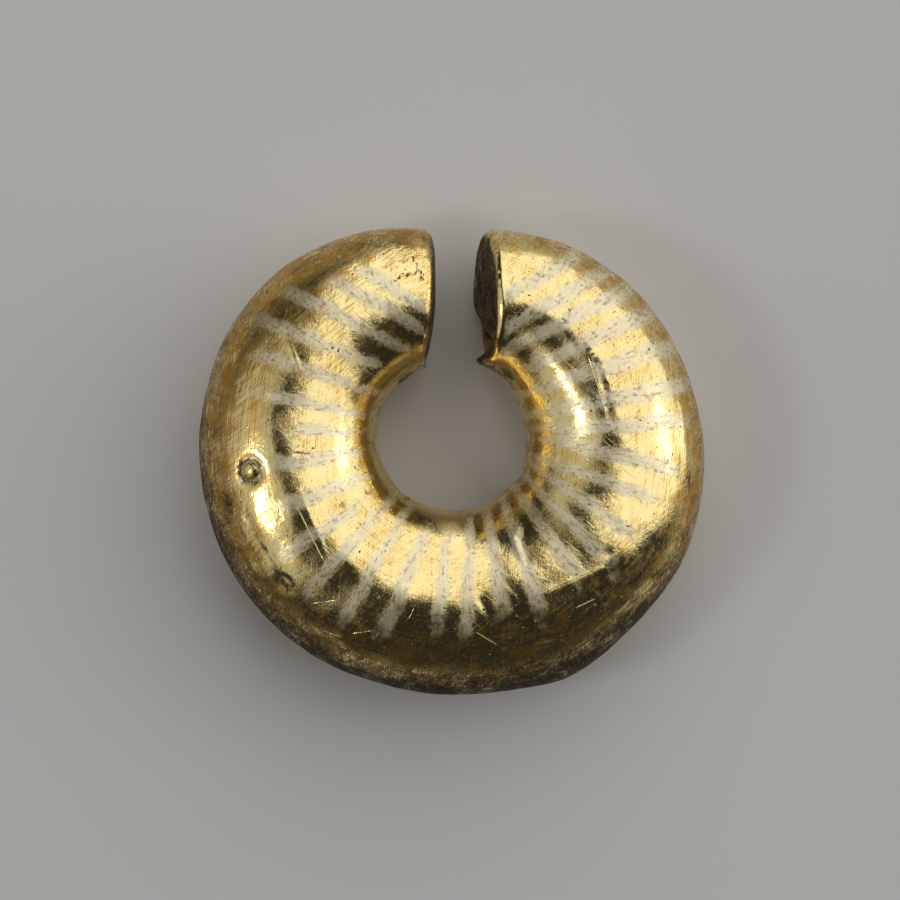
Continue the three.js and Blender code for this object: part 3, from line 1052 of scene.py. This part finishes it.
# %% [markdown]
# A plain pale floor stands in for the photograph's backdrop. It is a large flat sheet at the height on
# which the ring lies, with a plain matt finish.

# %% Floor
FLOOR_SIDE = 3
FLOOR_COLOUR = (0.62, 0.61, 0.59, 1)
FLOOR_ROUGHNESS = 0.9

half = FLOOR_SIDE / 2
floor_mesh = bpy.data.meshes.new("floor")
floor_corners = [(-half, -half, 0), (half, -half, 0), (half, half, 0), (-half, half, 0)]
floor_mesh.from_pydata(floor_corners, [], [(0, 1, 2, 3)])
floor = bpy.data.objects.new("floor", floor_mesh)
bpy.context.collection.objects.link(floor)

paper = Finish("floor_paper")
plain = {"Base Color": FLOOR_COLOUR, "Roughness": FLOOR_ROUGHNESS}
matt = paper.node("ShaderNodeBsdfPrincipled", {}, plain)
paper.node("ShaderNodeOutputMaterial", {}, {"Surface": matt})
floor_mesh.materials.append(paper.material)
print("Side of the floor, in metres:", FLOOR_SIDE)

# %% [markdown]
# Polished gold shows its lights, so the lights are read from the photograph. Its right and inner sides
# mirror one very large soft light at the upper right, which is brightest low on the right. At the left a
# small light draws the bright spot below the boss, and a weak wide one the glow around it. The rest of
# the studio is dark, which gives the dark bands. The lights are discs that face the ring, and they are
# hidden from the camera itself.

# %% Lights


def soft_light(name, azimuth, elevation, distance, half_angle, brightness):
    """A round soft light. Azimuth 0 is right and 90 the top of the picture; distance is in metres."""
    side, up = math.radians(azimuth), math.radians(elevation)
    direction = np.array([math.cos(side) * math.cos(up), math.sin(side) * math.cos(up), math.sin(up)])
    radius = distance * math.tan(math.radians(half_angle))
    data = bpy.data.lights.new(name, "AREA")
    data.shape = "DISK"
    data.size = 2 * radius
    data.energy = brightness * math.pi * math.pi * radius**2
    lamp = bpy.data.objects.new(name, data)
    lamp.location = direction * distance
    lamp.rotation_euler = (math.pi / 2 - up, 0, side + math.pi / 2)
    lamp.visible_camera = False
    bpy.context.collection.objects.link(lamp)
    print(name, "in watts:", round(data.energy, 2))


soft_light("large_light", 45, 30, 0.25, 57.5, 1.06)
soft_light("bright_core", 8, 26, 0.24, 9, 1.6)
soft_light("left_light", 192, 49, 0.25, 5.5, 10)
soft_light("left_glow", 185, 38, 0.26, 33, 0.45)

ROOM_COLOUR = (0.02, 0.02, 0.021, 1)
room = bpy.data.worlds.new("dim_room")
room.use_nodes = True
room.node_tree.nodes["Background"].inputs["Color"].default_value = ROOM_COLOUR
bpy.context.scene.world = room
bpy.context.scene.view_settings.view_transform = "Standard"
